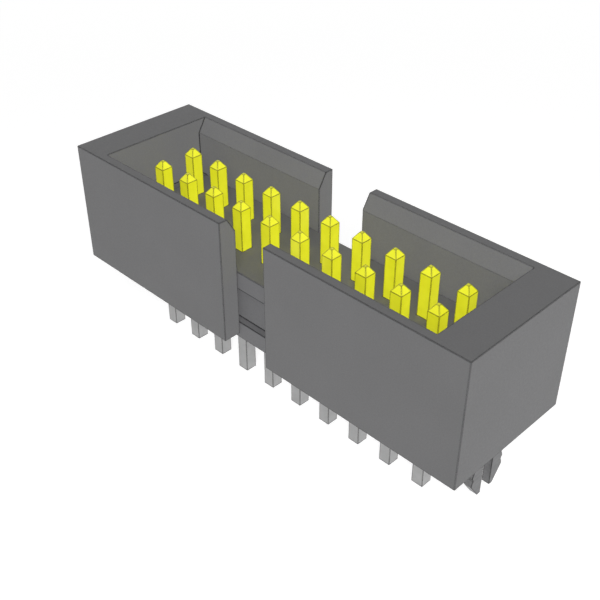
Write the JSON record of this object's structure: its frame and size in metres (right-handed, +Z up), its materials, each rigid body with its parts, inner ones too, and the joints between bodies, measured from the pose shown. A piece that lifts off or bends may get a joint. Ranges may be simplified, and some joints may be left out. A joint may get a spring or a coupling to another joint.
{
  "type": "board-to-board header",
  "caption": "Small shrouded pin header for circuit boards, with keying notches, square contact pins, solder tails and sheet metal locking clips.",
  "frame": {"origin": "centre of the insulator bar's underside, which seats on the circuit board", "axes": "+X along the contact rows, +Y across the rows towards the back, +Z up from the board to the mating side"},
  "size_m": [0.016, 0.0048, 0.0068],
  "materials": {
    "shroud_plastic": "grey moulded high-temperature plastic, fine matt mould texture",
    "bar_plastic": "grey moulded high-temperature plastic, fine matt mould texture",
    "contact_plating": "yellow gold plating on the contact end, matt grey tin plating on the solder tail",
    "clip_metal": "stamped sheet, matt grey tin plating"
  },
  "bodies": {
    "root": {"shroud": "shroud_plastic", "pin_bar": "bar_plastic", "pin_front_01": "contact_plating", "pin_front_02": "contact_plating", "pin_front_03": "contact_plating", "pin_front_04": "contact_plating", "pin_front_05": "contact_plating", "pin_front_06": "contact_plating", "pin_front_07": "contact_plating", "pin_front_08": "contact_plating", "pin_front_09": "contact_plating", "pin_front_10": "contact_plating", "pin_back_01": "contact_plating", "pin_back_02": "contact_plating", "pin_back_03": "contact_plating", "pin_back_04": "contact_plating", "pin_back_05": "contact_plating", "pin_back_06": "contact_plating", "pin_back_07": "contact_plating", "pin_back_08": "contact_plating", "pin_back_09": "contact_plating", "pin_back_10": "contact_plating", "clip_left": "clip_metal", "clip_right": "clip_metal"}
  },
  "joints": []
}
